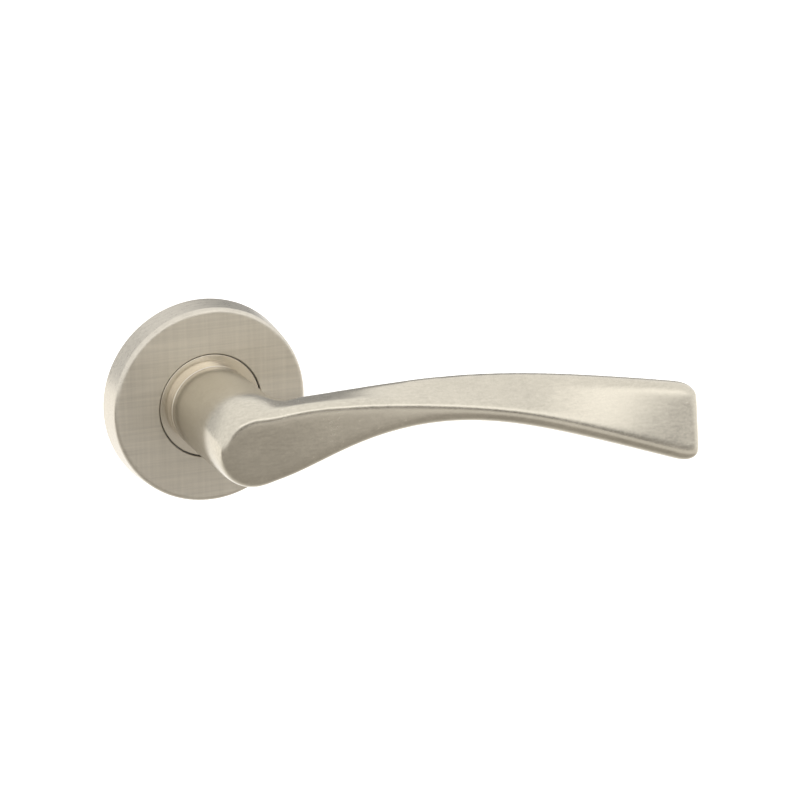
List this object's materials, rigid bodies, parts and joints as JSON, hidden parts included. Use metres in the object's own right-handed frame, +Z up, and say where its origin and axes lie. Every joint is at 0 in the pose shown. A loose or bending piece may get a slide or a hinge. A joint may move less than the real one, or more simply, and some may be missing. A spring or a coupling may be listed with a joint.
{
  "type": "door lever handle",
  "caption": "Door lever handle: a twisted satin metal lever on a round screw-on rose, sprung to return level, with its square spindle and through-door fixings.",
  "frame": {"origin": "centre of the rose's back face, on the spindle axis, in the plane of the door face", "axes": "+X along the lever from the spindle to the tip, -Y out of the door towards the hand, +Z up"},
  "size_m": [0.1479, 0.0885, 0.052],
  "materials": {
    "satin_nickel": "satin nickel plate, fine grained",
    "brushed_nickel": "satin nickel plate, fine straight brush lines",
    "turned_nickel": "nickel plate, turned face",
    "die_cast_zinc": "raw die-cast zinc, dull",
    "zinc_plated_steel": "bright zinc plate",
    "spring_steel": "dark oiled spring steel",
    "black_oxide_steel": "black oxide, hex socket",
    "white_nylon": "natural acetal, matt",
    "black_rubber": "matt black rubber"
  },
  "bodies": {
    "rose": {"neck_collar": "turned_nickel", "base_plate": "die_cast_zinc", "bearing_bush": "white_nylon", "driver_shim": "spring_steel", "return_spring": "spring_steel", "stop_buffers": "black_rubber", "spring_cover_plate": "zinc_plated_steel", "plate_screws": "zinc_plated_steel", "fixing_lugs": "zinc_plated_steel", "lug_screws": "zinc_plated_steel", "wood_screws": "zinc_plated_steel", "cover_clips": "spring_steel", "door_seal": "black_rubber"},
    "lever": {"lever_handle": "satin_nickel", "spindle": "zinc_plated_steel", "spindle_leaf_spring": "spring_steel", "grub_screw": "black_oxide_steel", "spring_driver": "zinc_plated_steel", "retaining_circlip": "spring_steel"},
    "cover": {"rose_cover": "brushed_nickel"}
  },
  "joints": [
    {"name": "lever_turn", "type": "hinge", "parent": "rose", "child": "lever", "pos_m": [0, 0, 0], "axis": [0, 1, 0], "range_deg": [0, 45], "stiffness_Nm_per_rad": 0.8, "springref_deg": -45.84, "deforming": ["return_spring"]},
    {"name": "cover_slide", "type": "slide", "parent": "rose", "child": "cover", "axis": [0, -1, 0], "range_m": [0, 0.016]}
  ]
}
